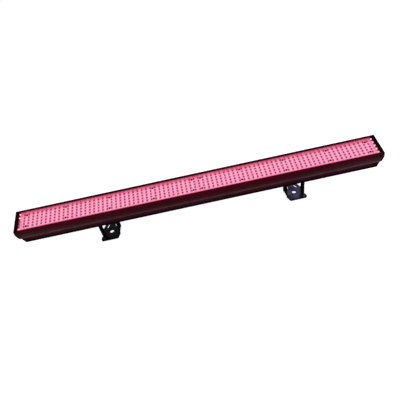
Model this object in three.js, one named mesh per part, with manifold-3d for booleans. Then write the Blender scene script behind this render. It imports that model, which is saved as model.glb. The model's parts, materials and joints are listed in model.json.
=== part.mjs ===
// LED strip batten for stage use: a black aluminium extrusion with two LED boards in its face, a steel tray
// for the electronics under it, and two yokes that the batten stands, tilts or hangs on.
// Millimetres. +X runs along the batten, -Y is its front and +Z is up. The batten's head is tilted towards
// the front on its yokes, whose base plates lie on Z = 0. The origin is under the middle of its box.
import * as THREE from "three";
import { mergeVertices } from "three/addons/utils/BufferGeometryUtils.js";
import Module from "manifold-3d";

const wasm = await Module();
wasm.setup();

// Driving dimensions
const LENGTH = 1070; // over the end plates
const TILT = THREE.MathUtils.degToRad(20); // of the head towards the front
const GAP = 0.3; // left between pieces that touch

// The head is made upright about the yokes' pivots: its Z = 0 is the pivots' height until it is tilted.
const FACE_Z = 79.4; // the light face above the pivots

// The housing's section. Depths are measured down from the light face.
const FACE_HALF = 34.3; // half the width of the light face
const RIM = 5.1; // the lip that frames the light opening
const WALL = 2.2;
const FLARE_DEPTH = 8.5; // below the face the walls flare out
const FLARE_HALF = 39.1;
const WIDE_HALF = 40.5; // at the widest
const WIDE_DEPTH = 25;
const HOUSING_DEPTH = 38;
const FOOT_HALF = 36.5; // half-width at the foot of the housing
const SLOT_HALF = 31; // the open slot in the housing's underside
const WEB_TOP = 7.9; // the web that carries the LED boards
const WEB = 2.5;

const END_PLATE = 4;
const END_PROUD = 0.5; // the end plates stand a little proud of the housing
const END_BEVEL = 0.8;

const TRAY_END = 533.4; // half the tray's length
const TRAY_JOINT = 178; // its three lengths meet this far from the middle
const TRAY_HALF = 36.8;
const TRAY_DEPTH = 65.4;
const TRAY_WALL = 1.5;
const TRAY_CORNER = 3;
const TRAY_Z = FACE_Z - TRAY_DEPTH; // its underside
const TRAY_FLOOR = TRAY_Z + TRAY_WALL;

// The LED field: two boards of 40 columns and 5 rows, and a column of 5 at each end.
const COLUMN_PITCH = 12.89;
const COLUMNS = 40; // on each board
const ROW_PITCH = 9.5;
const ROWS = 5;
const BOARD_HALF = 31;
const BOARD = 1.6;
const BOARD_TOP = 6; // depth of the boards' upper face
const LED = 5; // an LED's diameter
const LED_TIP = 2.4; // depth of the LEDs' tips
const END_COLUMN_X = 523;
const END_ROW_PITCH = 12.2;
const END_BOARD_WIDTH = 10;

// The yokes and the lugs that they pivot on
const BRACKET_X = 297.5; // from the middle of the batten to each bracket
const YOKE_DROP = 63.1; // from the pivot to the underside of the base plate
const YOKE_HALF = 28.7; // half the width over the ears
const YOKE_STEEL = 2.6;
const YOKE_EAR_FOOT = 13.6;
const YOKE_EAR_TIP = 11;
const PLATE_REACH = 37; // half the base plate from front to back
const PLATE_MIDDLE = 28.9; // half the base plate's width beside the ears
const PLATE_SHOULDER = 18.5; // where the base plate starts to taper
const PLATE_END = 23.6; // half its width at the front and back edges
const PLATE_TAB = 31; // its reach in the tab beside the outer ear's foot
const NOTCH = 14.6; // where the bend relief notches end
const BEND = 5;
const FIXING_HOLE = 6.5; // radius
const SLOT_WIDTH = 5; // two slots for a second fixing, behind the hole
const SLOT_ENDS = [
  [15.6, 22.5],
  [11.2, 32.5],
];
const LUG_HALF = 23.7;
const LUG_STEEL = 3;
const LUG_REACH = 18;
const LUG_EAR = 11;

const BOLT = 4; // radius of the M8 threads
const BORE = BOLT + GAP;
const WASHER = 10; // radius
const NUT = 7.2; // radius over the corners
const NUT_HEIGHT = 6.2;
const KNOB = 12; // radius over the lobes
const KNOB_LENGTH = 14;
const KNOB_LOBES = 6;

// The tray's underside
const PANEL_CUT = { x0: -34, x1: -6, half: 7 }; // display window
const BUTTONS = ["menu", "down", "up", "enter"];
const BUTTON_X = 6; // the first button
const BUTTON_PITCH = 10;
const BUTTON = 3.5; // radius
const BUTTON_STANDS = 1.4; // proud of the tray
const DATA_IN_X = 385;
const DATA_OUT_X = 425;
const SOCKET_BODY = 11.7; // radius
const SOCKET_BORE = 9.5;
const SOCKET_FLANGE = 2;
const MAINS_X = -400;
const MAINS = { bodyX: 13.3, bodyY: 9.8, cavityX: 12, cavityY: 8 }; // half sizes

// Inside the housing
const LEAD_HOLE_X = 40; // the holes in the web for the LED boards' leads
const CONTROL_BOARD_Z = TRAY_Z + 6;
const DRIVER_BOARD_Z = TRAY_Z + 7;
const DRIVER = { x0: 60, x1: 240, half: 24 };
const SUPPLY = { x0: -240, x1: -70, half: 27, z0: TRAY_FLOOR + GAP, z1: TRAY_Z + 31 };

const paint = (color, roughness, metalness = 0) =>
  new THREE.MeshStandardMaterial({ color, roughness, metalness });
const BLACK_PAINT = paint(0x0e0e10, 0.35, 0.3);
const BLACK_STEEL = paint(0x15151a, 0.45, 0.4);
const BOARD_WHITE = paint(0xf3eef0, 0.5);
const LED_CLEAR = paint(0xf25ab8, 0.15);
const ZINC = paint(0xb9bcc0, 0.3, 0.9);
const NYLON = paint(0x1a1a1c, 0.7);
const GREEN_BOARD = paint(0x1f5a35, 0.5);
const CASE_STEEL = paint(0xc6c8ca, 0.4, 0.8);
const CABLE = paint(0x222226, 0.6);
const WINDOW = paint(0x2a0c10, 0.1);
const RUBBER = paint(0x303034, 0.85);

// Closed solids, and where they lie

function solid(geometry) {
  const bare = geometry.clone();
  bare.deleteAttribute("normal");
  bare.deleteAttribute("uv");
  const merged = mergeVertices(bare, 1e-4);
  return new wasm.Manifold(
    new wasm.Mesh({
      numProp: 3,
      vertProperties: merged.attributes.position.array,
      triVerts: new Uint32Array(merged.index.array),
    }),
  );
}

function geometryOf(made) {
  const mesh = made.getMesh();
  const geometry = new THREE.BufferGeometry();
  geometry.setAttribute("position", new THREE.BufferAttribute(mesh.vertProperties, 3));
  geometry.setIndex(new THREE.BufferAttribute(mesh.triVerts, 1));
  geometry.computeVertexNormals();
  return geometry;
}

// A box between two corners.
function box(x0, x1, y0, y1, z0, z1) {
  const geometry = new THREE.BoxGeometry(x1 - x0, y1 - y0, z1 - z0);
  return solid(geometry.translate((x0 + x1) / 2, (y0 + y1) / 2, (z0 + z1) / 2));
}

// A cylinder about a line along Z.
function post(x, y, radius, z0, z1, sides = 24) {
  const geometry = new THREE.CylinderGeometry(radius, radius, z1 - z0, sides);
  return solid(geometry.rotateX(Math.PI / 2).translate(x, y, (z0 + z1) / 2));
}

// A cylinder about the line at height z that runs along X.
function rod(x0, x1, z, radius, sides = 24) {
  const geometry = new THREE.CylinderGeometry(radius, radius, Math.abs(x1 - x0), sides);
  return solid(geometry.rotateZ(Math.PI / 2).translate((x0 + x1) / 2, 0, z));
}

const extrude = (shape, depth, more = {}) =>
  new THREE.ExtrudeGeometry(shape, { depth, bevelEnabled: false, curveSegments: 10, ...more });

// An outline in X and Y, raised from z0 to z1.
const upright = (shape, z0, z1) => solid(extrude(shape, z1 - z0).translate(0, 0, z0));

// An outline in Y and Z, drawn out from x0 to x1.
function alongX(shape, x0, x1, more) {
  const turn = new THREE.Matrix4().makeBasis(
    new THREE.Vector3(0, 1, 0),
    new THREE.Vector3(0, 0, 1),
    new THREE.Vector3(1, 0, 0),
  );
  return solid(extrude(shape, x1 - x0, more).applyMatrix4(turn).translate(x0, 0, 0));
}

// An outline in X and Z, drawn out from y0 to y1.
function alongY(shape, y0, y1) {
  const geometry = extrude(shape, y1 - y0);
  return solid(geometry.rotateX(Math.PI / 2).translate(0, y1, 0));
}

const point = (x, y) => new THREE.Vector2(x, y);
const mirrored = (points) => points.map((p) => point(-p.x, p.y)).reverse();

const batten = new THREE.Group();
batten.name = "led_strip_batten";
const head = new THREE.Group();
head.name = "tilted_head";
head.rotation.x = TILT;
batten.add(head);

function add(name, made, material, group = head) {
  const mesh = new THREE.Mesh(geometryOf(made), material);
  mesh.name = name;
  group.add(mesh);
}

// Housing and its ends

const down = (half, depth) => point(half, FACE_Z - depth);

// The outside of a side wall from the face to the foot: a flat flare, a nearly upright stretch, then a shoulder
// that turns in. It can be grown by a margin.
function wallOutside(grow, faceDepth) {
  const bulge = new THREE.QuadraticBezierCurve(
    down(FLARE_HALF + grow, FLARE_DEPTH),
    down(WIDE_HALF + grow, FLARE_DEPTH + 5),
    down(WIDE_HALF + grow, WIDE_DEPTH),
  );
  const shoulder = new THREE.QuadraticBezierCurve(
    down(WIDE_HALF + grow, WIDE_DEPTH),
    down(WIDE_HALF + grow, WIDE_DEPTH + 9),
    down(FOOT_HALF + grow, HOUSING_DEPTH + grow),
  );
  return [down(FACE_HALF + grow, faceDepth), ...bulge.getPoints(4), ...shoulder.getPoints(6).slice(1)];
}

// The extrusion's section: two walls joined by the web, open above it for the light and below it for the tray.
function housingShape() {
  const inner = WIDE_HALF - WALL - 1.5;
  const flange = HOUSING_DEPTH - WALL;
  const side = [
    down(FACE_HALF - RIM, 0),
    ...wallOutside(0, 0),
    down(SLOT_HALF, HOUSING_DEPTH),
    down(SLOT_HALF, flange),
    down(FOOT_HALF - WALL, flange),
    down(inner, WIDE_DEPTH + 3),
    down(inner, WEB_TOP + WEB),
  ];
  const groove = [
    down(-FACE_HALF + RIM, WALL),
    down(-FACE_HALF + WALL / 2, WALL),
    down(-FLARE_HALF + 1.2 * WALL, WEB_TOP),
  ];
  return new THREE.Shape([...side, ...mirrored(side), ...groove, ...mirrored(groove)]);
}

const HOUSING_END = LENGTH / 2 - END_PLATE - GAP;

function housing() {
  const bar = alongX(housingShape(), -HOUSING_END, HOUSING_END);
  const leadHole = (x) => box(x - 8, x + 8, -6, 6, FACE_Z - WEB_TOP - WEB - 1, FACE_Z - WEB_TOP + 1);
  return bar.subtract(leadHole(-LEAD_HOLE_X)).subtract(leadHole(LEAD_HOLE_X));
}

// A plate with the outline of the housing's end, but a little larger all round.
function endPlate(side) {
  const edge = wallOutside(END_PROUD - END_BEVEL, END_BEVEL);
  const bevel = {
    bevelEnabled: true,
    bevelThickness: END_BEVEL,
    bevelSize: END_BEVEL,
    bevelSegments: 2,
  };
  const x0 = side < 0 ? -LENGTH / 2 : LENGTH / 2 - END_PLATE;
  const outline = new THREE.Shape([...edge, ...mirrored(edge)]);
  return alongX(outline, x0 + END_BEVEL, x0 + END_PLATE - END_BEVEL, bevel);
}

// LED field

function ledBoard(side) {
  const x = [side * GAP, side * COLUMNS * COLUMN_PITCH].sort((a, b) => a - b);
  return box(...x, -BOARD_HALF, BOARD_HALF, FACE_Z - BOARD_TOP - BOARD, FACE_Z - BOARD_TOP);
}

// One row of a board's LEDs, as a bar over the row.
function ledRow(side, row) {
  const first = COLUMN_PITCH / 2 - LED / 2;
  const last = (COLUMNS - 0.5) * COLUMN_PITCH + LED / 2;
  const x = [side * first, side * last].sort((a, b) => a - b);
  const y = (row - (ROWS - 1) / 2) * ROW_PITCH;
  return box(...x, y - LED / 2, y + LED / 2, FACE_Z - BOARD_TOP + GAP, FACE_Z - LED_TIP);
}

function endBoard(side) {
  const x = side * END_COLUMN_X;
  const half = END_BOARD_WIDTH / 2;
  return box(x - half, x + half, -BOARD_HALF, BOARD_HALF, FACE_Z - BOARD_TOP - BOARD, FACE_Z - BOARD_TOP);
}

function endLeds(side) {
  const x = side * END_COLUMN_X;
  const reach = ((ROWS - 1) / 2) * END_ROW_PITCH + LED / 2;
  return box(x - LED / 2, x + LED / 2, -reach, reach, FACE_Z - BOARD_TOP + GAP, FACE_Z - LED_TIP);
}

// Tray, and what its underside carries

function trayShape(half, z0, z1, corner) {
  const shape = new THREE.Shape();
  shape.moveTo(-half, z1).lineTo(-half, z0 + corner);
  shape.quadraticCurveTo(-half, z0, -half + corner, z0);
  shape.lineTo(half - corner, z0).quadraticCurveTo(half, z0, half, z0 + corner).lineTo(half, z1);
  return shape;
}

// One length of the tray from low to high. Only the ends of the whole tray have a wall.
function trayLength(low, high) {
  const top = FACE_Z - HOUSING_DEPTH - END_PROUD - GAP;
  const inner = trayShape(TRAY_HALF - TRAY_WALL, TRAY_FLOOR, top + 1, TRAY_CORNER - TRAY_WALL);
  const hollow = alongX(
    inner,
    low === -TRAY_END ? low + TRAY_WALL : low - 1,
    high === TRAY_END ? high - TRAY_WALL : high + 1,
  );
  const { x0, x1, half } = PANEL_CUT;
  const z = [TRAY_Z - 1, TRAY_FLOOR + 1];
  let made = alongX(trayShape(TRAY_HALF, TRAY_Z, top, TRAY_CORNER), low, high).subtract(hollow);
  made = made.subtract(box(x0, x1, -half, half, ...z));
  BUTTONS.forEach((_, i) => {
    made = made.subtract(post(BUTTON_X + i * BUTTON_PITCH, 0, BUTTON + GAP, ...z));
  });
  for (const x of [DATA_IN_X, DATA_OUT_X]) made = made.subtract(post(x, 0, SOCKET_BODY + GAP, ...z));
  const { bodyX, bodyY } = MAINS;
  return made.subtract(
    box(MAINS_X - bodyX - GAP, MAINS_X + bodyX + GAP, -bodyY - GAP, bodyY + GAP, ...z),
  );
}

// A clear window, flush with the tray, over the four digits of the display.
function displayWindow() {
  const { x0, x1, half } = PANEL_CUT;
  return box(x0 + GAP, x1 - GAP, -half + GAP, half - GAP, TRAY_Z - 0.4, TRAY_FLOOR + 0.6);
}

// A button's cap, held in by a flange inside the tray.
function button(i) {
  const x = BUTTON_X + i * BUTTON_PITCH;
  const cap = post(x, 0, BUTTON, TRAY_Z - BUTTON_STANDS, TRAY_FLOOR + 2.3);
  return cap.add(post(x, 0, BUTTON + 1, TRAY_FLOOR + GAP, TRAY_FLOOR + 1.3));
}

function flange(x, halfX, halfY) {
  const shape = new THREE.Shape();
  const r = 2.5;
  shape.moveTo(x - halfX + r, -halfY).lineTo(x + halfX - r, -halfY);
  shape.quadraticCurveTo(x + halfX, -halfY, x + halfX, -halfY + r).lineTo(x + halfX, halfY - r);
  shape.quadraticCurveTo(x + halfX, halfY, x + halfX - r, halfY).lineTo(x - halfX + r, halfY);
  shape.quadraticCurveTo(x - halfX, halfY, x - halfX, halfY - r).lineTo(x - halfX, -halfY + r);
  shape.quadraticCurveTo(x - halfX, -halfY, x - halfX + r, -halfY);
  return upright(shape, TRAY_Z - GAP - SOCKET_FLANGE, TRAY_Z - GAP);
}

const SOCKET_MOUTH = TRAY_Z - GAP - SOCKET_FLANGE;

// A round three-pole socket: pins down a bore, or a face with three holes for a plug's pins.
function dataSocket(x, male) {
  const body = flange(x, 13, 15.5).add(post(x, 0, SOCKET_BODY, TRAY_Z - GAP - 1, TRAY_Z + 18));
  const pole = (i) => {
    const angle = (i * 2 * Math.PI) / 3 + Math.PI / 2;
    return [x + 4.5 * Math.cos(angle), 4.5 * Math.sin(angle)];
  };
  if (male) {
    let made = body.subtract(post(x, 0, SOCKET_BORE, SOCKET_MOUTH - 1, TRAY_Z + 13));
    for (const i of [0, 1, 2]) made = made.add(post(...pole(i), 1.2, TRAY_Z + 5, TRAY_Z + 14, 10));
    return made;
  }
  let made = body;
  for (const i of [0, 1, 2]) {
    made = made.subtract(post(...pole(i), 1.5, SOCKET_MOUTH - 1, TRAY_Z + 10, 10));
  }
  return made;
}

// The mains inlet: a box with three flat pins in its cavity.
function mainsInlet() {
  const { bodyX, bodyY, cavityX, cavityY } = MAINS;
  const [low, high] = [MAINS_X - cavityX, MAINS_X + cavityX];
  let made = flange(MAINS_X, 22, 13).add(
    box(MAINS_X - bodyX, MAINS_X + bodyX, -bodyY, bodyY, TRAY_Z - GAP - 1, TRAY_Z + 19),
  );
  made = made.subtract(box(low, high, -cavityY, cavityY, SOCKET_MOUTH - 1, TRAY_Z + 15.7));
  for (const [x, y] of [[-7, -2], [0, 2], [7, -2]]) {
    made = made.add(box(MAINS_X + x - 1, MAINS_X + x + 1, y - 2, y + 2, TRAY_Z + 5.7, TRAY_Z + 16));
  }
  return made;
}

// Inside the housing

// The board behind the display and the buttons, with a switch over each button.
function controlBoard() {
  let made = box(-38, 42, -20, 20, CONTROL_BOARD_Z, CONTROL_BOARD_Z + BOARD);
  made = made.add(box(-31, -9, -5, 5, CONTROL_BOARD_Z - 3, CONTROL_BOARD_Z + 0.5));
  BUTTONS.forEach((_, i) => {
    const x = BUTTON_X + i * BUTTON_PITCH;
    made = made.add(box(x - 3, x + 3, -3, 3, CONTROL_BOARD_Z - 1, CONTROL_BOARD_Z + 0.5));
  });
  return made;
}

// The board that drives the LEDs, with its transistors in a row, its coils and its capacitors.
function driverBoard() {
  const top = DRIVER_BOARD_Z + BOARD;
  let made = box(DRIVER.x0, DRIVER.x1, -DRIVER.half, DRIVER.half, DRIVER_BOARD_Z, top);
  for (let x = DRIVER.x0 + 15; x < DRIVER.x1 - 50; x += 18) {
    made = made.add(box(x - 5, x + 5, 12, 16.5, top - 0.5, top + 15));
  }
  for (const x of [80, 110, 140]) made = made.add(post(x, -10, 7, top - 0.5, top + 9, 16));
  for (const x of [200, 222]) made = made.add(post(x, -4, 8, top - 0.5, top + 22, 16));
  return made;
}

function powerSupply() {
  const { x0, x1, half, z0, z1 } = SUPPLY;
  const foot = (x) => box(x - 8, x + 8, -8, 8, z0, z0 + 1.5);
  return box(x0, x1, -half, half, z0, z1).add(foot(x0 - 7)).add(foot(x1 + 7));
}

// A round lead along a smooth curve.
function lead(points, radius) {
  const path = new THREE.CatmullRomCurve3(points.map((p) => new THREE.Vector3(...p)));
  const section = new THREE.Shape().absarc(0, 0, radius, 0, 2 * Math.PI);
  return solid(
    new THREE.ExtrudeGeometry(section, {
      extrudePath: path,
      steps: 24,
      curveSegments: 4,
      bevelEnabled: false,
    }),
  );
}

function addInside() {
  const supplyMiddle = TRAY_Z + 18;
  const behind = TRAY_Z + 22;
  add("power_supply", powerSupply(), CASE_STEEL);
  add("driver_board", driverBoard(), GREEN_BOARD);
  add("control_board", controlBoard(), GREEN_BOARD);
  const mains = [[MAINS_X, 0, TRAY_Z + 20], [MAINS_X, 0, behind + 2], [MAINS_X + 20, 2, behind + 10]];
  mains.push([-300, 4, behind], [SUPPLY.x0 - 40, 2, supplyMiddle], [SUPPLY.x0 - 0.6, 0, supplyMiddle]);
  add("mains_lead", lead(mains, 3.2), CABLE);
  const rail = [[SUPPLY.x1 + 0.6, 8, supplyMiddle], [-30, 10, behind + 4], [20, 8, behind + 4]];
  rail.push([DRIVER.x0 - 0.8, 2, DRIVER_BOARD_Z + 1]);
  add("supply_lead", lead(rail, 3), CABLE);
  const data = [[DATA_IN_X - 12.4, 0, TRAY_Z + 12], [340, 4, behind], [280, 2, TRAY_Z + 14]];
  data.push([DRIVER.x1 + 0.8, 0, DRIVER_BOARD_Z + 1]);
  add("data_lead", lead(data, 2.4), CABLE);
}

// Yokes, lugs and their fasteners. These are made about a pivot at the origin, and moved out to a bracket.

// A strip bent into a channel, seen from the front, from its flat back at z0 to its tips at z1.
function channelShape(half, steel, z0, z1) {
  const up = Math.sign(z1 - z0);
  const inner = BEND - steel;
  const shape = new THREE.Shape();
  shape.moveTo(half, z1).lineTo(half, z0 + up * BEND);
  shape.quadraticCurveTo(half, z0, half - BEND, z0).lineTo(-half + BEND, z0);
  shape.quadraticCurveTo(-half, z0, -half, z0 + up * BEND).lineTo(-half, z1);
  shape.lineTo(-half + steel, z1).lineTo(-half + steel, z0 + up * BEND);
  shape.quadraticCurveTo(-half + steel, z0 + up * steel, -half + steel + inner, z0 + up * steel);
  shape.lineTo(half - steel - inner, z0 + up * steel);
  shape.quadraticCurveTo(half - steel, z0 + up * steel, half - steel, z0 + up * BEND);
  return shape.lineTo(half - steel, z1);
}

// An ear, seen from the side: a taper from its foot at z0 to a round tip about the pivot.
function earShape(footHalf, tip, z0) {
  const shape = new THREE.Shape().moveTo(-footHalf, z0).lineTo(footHalf, z0);
  return shape.absarc(0, 0, tip, 0, Math.PI, z0 > 0);
}

// The base plate's flat outline. It tapers from the ears to its rounded corners, but for the front corner on
// the outer side, which stands out in a rounded tab.
function plateShape(side) {
  const corner = 3;
  const bendLine = YOKE_HALF - BEND;
  const notch = [point(bendLine, YOKE_EAR_FOOT - 1), point(bendLine, NOTCH)];
  const plain = [
    ...notch,
    point(PLATE_MIDDLE, NOTCH),
    point(PLATE_MIDDLE, PLATE_SHOULDER),
    ...new THREE.QuadraticBezierCurve(
      point(PLATE_END + 0.8, PLATE_REACH - corner),
      point(PLATE_END, PLATE_REACH),
      point(PLATE_END - corner, PLATE_REACH),
    ).getPoints(4),
  ];
  const waist = PLATE_MIDDLE - 0.7;
  const tab = [
    ...notch,
    point(waist, NOTCH),
    ...new THREE.CubicBezierCurve(
      point(waist, PLATE_SHOULDER - 1),
      point(PLATE_TAB + 1.4, PLATE_SHOULDER + 2.5),
      point(PLATE_TAB + 1.4, PLATE_REACH),
      point(PLATE_END, PLATE_REACH),
    ).getPoints(9),
  ];
  const [right, left] = side > 0 ? [tab, plain] : [plain, tab];
  const back = [...plain, ...mirrored(plain)];
  const front = [...right, ...mirrored(left)].reverse().map((p) => point(p.x, -p.y));
  return new THREE.Shape([...back, ...front]);
}

const PLATE_Z = -YOKE_DROP;
const PLATE_TOP = PLATE_Z + YOKE_STEEL;

// A slot with round ends on one side of the base plate.
function fixingSlot(side) {
  const [near, far] = SLOT_ENDS.map(([x, y]) => point(side * x, y));
  const along = Math.atan2(far.y - near.y, far.x - near.x);
  const shape = new THREE.Shape();
  shape.absarc(far.x, far.y, SLOT_WIDTH / 2, along - Math.PI / 2, along + Math.PI / 2, false);
  shape.absarc(near.x, near.y, SLOT_WIDTH / 2, along + Math.PI / 2, along + (3 * Math.PI) / 2, false);
  return solid(extrude(shape, YOKE_STEEL + 2, { curveSegments: 6 }).translate(0, 0, PLATE_Z - 1));
}

function yoke(side) {
  const bent = alongY(channelShape(YOKE_HALF, YOKE_STEEL, PLATE_Z, YOKE_EAR_TIP + 1), -20, 20);
  return bent
    .intersect(alongX(earShape(YOKE_EAR_FOOT, YOKE_EAR_TIP, PLATE_Z - 1), -40, 40))
    .add(upright(plateShape(side), PLATE_Z, PLATE_TOP))
    .subtract(post(0, 0, FIXING_HOLE, PLATE_Z - 1, PLATE_TOP + 1, 32))
    .subtract(fixingSlot(-1))
    .subtract(fixingSlot(1))
    .subtract(rod(-40, 40, 0, BORE));
}

// The lug: a smaller channel, upside down under the tray, with an ear inside each of the yoke's ears.
function lug() {
  const back = TRAY_Z - GAP;
  const bent = alongY(channelShape(LUG_HALF, LUG_STEEL, back, -LUG_EAR - 1), -LUG_REACH, LUG_REACH);
  const ears = alongX(earShape(LUG_EAR + 2, LUG_EAR, back + 1), -40, 40);
  const base = box(-40, 40, -LUG_REACH, LUG_REACH, back - LUG_STEEL, back);
  return bent.intersect(ears.add(base)).subtract(rod(-40, 40, 0, BORE));
}

// A hexagonal nut about the pivot, with a clear hole for the thread.
const hexagon = (x0, x1, radius) => rod(x0, x1, 0, radius, 6);
const nut = (side) => {
  const face = LUG_HALF - LUG_STEEL - GAP;
  return hexagon(side * face, side * (face - NUT_HEIGHT), NUT).subtract(rod(-40, 40, 0, BORE));
};

const washer = (side) =>
  rod(side * (LUG_HALF + GAP), side * (YOKE_HALF - YOKE_STEEL - GAP), 0, WASHER).subtract(
    rod(-40, 40, 0, BORE),
  );

// A bolt through one ear of the yoke and of the lug, and the nut inside them.
function pivotBolt(side) {
  const face = YOKE_HALF + GAP;
  return hexagon(side * face, side * (face + 5.3), NUT).add(rod(side * 12, side * (face + 1), 0, BOLT));
}

// A hand knob with rounded lobes on a stud that takes the bolt's place on the outer ear.
function clampKnob(side) {
  const inner = YOKE_HALF + GAP;
  const outline = [];
  const steps = KNOB_LOBES * 8;
  for (let i = 0; i < steps; i++) {
    const angle = (i * 2 * Math.PI) / steps;
    const radius = KNOB - 1.3 * (1 - Math.cos(KNOB_LOBES * angle)) * 0.5;
    outline.push(point(radius * Math.cos(angle), radius * Math.sin(angle)));
  }
  const x = [side * (inner + 3), side * (inner + KNOB_LENGTH)].sort((a, b) => a - b);
  return alongX(new THREE.Shape(outline), ...x)
    .add(rod(side * inner, side * (inner + 4), 0, 8))
    .add(rod(side * 12, side * (inner + 4), 0, BOLT));
}

// The yoke and its knob stand upright; the lug and what is bolted to it tilt with the head.
function addBracket(side, label) {
  const onHead = new THREE.Group();
  const standing = new THREE.Group();
  onHead.position.x = standing.position.x = side * BRACKET_X;
  add(`lug_${label}`, lug(), BLACK_STEEL, onHead);
  for (const [end, where] of [
    [side, "outer"],
    [-side, "inner"],
  ]) {
    add(`lock_nut_${label}_${where}`, nut(end), ZINC, onHead);
    add(`friction_washer_${label}_${where}`, washer(end), NYLON, onHead);
  }
  add(`pivot_bolt_${label}`, pivotBolt(-side), ZINC, onHead);
  add(`yoke_${label}`, yoke(side), BLACK_STEEL, standing);
  add(`clamp_knob_${label}`, clampKnob(side), RUBBER, standing);
  head.add(onHead);
  batten.add(standing);
}

add("housing", housing(), BLACK_PAINT);
add("tray_left", trayLength(-TRAY_END, -TRAY_JOINT), BLACK_PAINT);
add("tray_middle", trayLength(-TRAY_JOINT + GAP, TRAY_JOINT - GAP), BLACK_PAINT);
add("tray_right", trayLength(TRAY_JOINT, TRAY_END), BLACK_PAINT);
for (const [side, label] of [[-1, "left"], [1, "right"]]) {
  add(`end_plate_${label}`, endPlate(side), BLACK_PAINT);
  add(`led_board_${label}`, ledBoard(side), BOARD_WHITE);
  for (let row = 0; row < ROWS; row++) add(`led_row_${label}_${row + 1}`, ledRow(side, row), LED_CLEAR);
  add(`end_board_${label}`, endBoard(side), BOARD_WHITE);
  add(`end_leds_${label}`, endLeds(side), LED_CLEAR);
  addBracket(side, label);
}
add("display_window", displayWindow(), WINDOW);
BUTTONS.forEach((name, i) => add(`button_${name}`, button(i), RUBBER));
add("data_in_socket", dataSocket(DATA_IN_X, true), NYLON);
add("data_out_socket", dataSocket(DATA_OUT_X, false), NYLON);
add("mains_inlet", mainsInlet(), NYLON);
addInside();

// Stand the yokes on Z = 0, with the origin under the middle of the box.
const extent = new THREE.Box3().setFromObject(batten, true);
batten.position.set(0, -(extent.min.y + extent.max.y) / 2, -extent.min.z);

export default batten;
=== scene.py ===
"""The finished look of an LED strip batten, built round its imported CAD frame.

The head's own pieces are made upright about the pivots of the two yokes and then tilted with the head, so a
size in this file is a depth below the light face or a distance along the batten. Everything is in metres.
"""

import json
import math

import bmesh
import bpy
from bpy.props import FloatProperty, FloatVectorProperty, IntProperty, PointerProperty
from mathutils import Matrix, Vector


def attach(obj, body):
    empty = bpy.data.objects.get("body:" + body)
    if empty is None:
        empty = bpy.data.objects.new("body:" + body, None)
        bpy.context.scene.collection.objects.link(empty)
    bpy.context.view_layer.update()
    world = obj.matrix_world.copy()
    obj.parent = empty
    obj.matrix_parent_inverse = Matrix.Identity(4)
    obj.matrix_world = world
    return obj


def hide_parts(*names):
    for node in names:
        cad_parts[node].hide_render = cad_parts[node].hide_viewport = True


bl_info = {
    "name": "LED Strip Batten",
    "version": (1, 0, 0),
    "blender": (4, 5, 0),
    "location": "View3D > Sidebar > Batten",
    "description": "Finishes a stage LED batten on two yokes: shells, LED field, fasteners and studio",
    "category": "Object",
}

MM = 0.001

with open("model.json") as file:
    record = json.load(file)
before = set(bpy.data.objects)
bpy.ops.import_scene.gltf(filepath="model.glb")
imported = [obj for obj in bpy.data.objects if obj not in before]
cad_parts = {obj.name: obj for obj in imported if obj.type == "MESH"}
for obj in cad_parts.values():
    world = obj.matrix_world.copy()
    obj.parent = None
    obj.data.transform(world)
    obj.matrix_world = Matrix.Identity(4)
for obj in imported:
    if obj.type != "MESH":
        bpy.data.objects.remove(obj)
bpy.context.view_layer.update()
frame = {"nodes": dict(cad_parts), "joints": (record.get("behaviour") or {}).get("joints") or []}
NODES = frame["nodes"]
JOINTS = {joint["name"]: joint for joint in frame["joints"]}
SIDES = {"left": -1, "right": 1}
BUTTONS = ("menu", "down", "up", "enter")

# The head's frame: its origin is midway between the pivots, and its Z is the light face's outward normal.
PIVOT = Vector((0, *JOINTS["yoke_left_tilt"]["pos_m"][1:]))
FACE_NORMAL = Vector(JOINTS["button_menu_press"]["axis"])
TILT = math.atan2(-FACE_NORMAL.y, FACE_NORMAL.z)
HEAD = Matrix.Translation(PIVOT) @ Matrix.Rotation(TILT, 4, "X")


def head_box(node):
    """The lowest and highest corners of a CAD node in the head's frame."""
    back = HEAD.inverted()
    points = [back @ vertex.co for vertex in NODES[node].data.vertices]
    return tuple(Vector(pick(p[i] for p in points) for i in range(3)) for pick in (min, max))


FACE_Z = head_box("housing")[1].z
BOARD_Z = head_box("led_board_left")[1].z
TRAY_NODES = ("tray_left", "tray_middle", "tray_right")

# Depths below the light face between which the light and shade painted on the walls change
SPILL_FADE = (2 * MM, 16 * MM)
HAZE_FADE = (18 * MM, 29 * MM)
BLACK_FADE = (34 * MM, 60 * MM)
# The walls' painted light fades to painted shade towards the ends
END_FADE = (500 * MM, 528 * MM)  # distances from the middle between which the walls darken

# The lit part of the extrusion: the channel under the lips, and a band inside the front lip
LIP_DEPTH = 2.6 * MM
CHANNEL_HALF = 33 * MM
NEAR_LIP = (-32.0 * MM, -30.8 * MM)
FRONT_HALF = -28 * MM  # only what lies in front of this belongs to the front lip

OUTER_ROW = 2.0  # rows of LEDs are counted from the middle one

# The band of the left end column where the LEDs glow less: how far it lies forward, and half its width
DIM_FORWARD = 6 * MM
DIM_HALF = 12 * MM


# Sizes and colours that a user would change


def size(name, description, millimetres):
    """A length that the sidebar shows in the scene's units."""
    return FloatProperty(
        name=name, description=description, default=millimetres * MM, min=0, unit="LENGTH", subtype="DISTANCE"
    )


def colour(name, description, value):
    return FloatVectorProperty(
        name=name, description=description, default=value, size=3, min=0, max=1, subtype="COLOR"
    )


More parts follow.
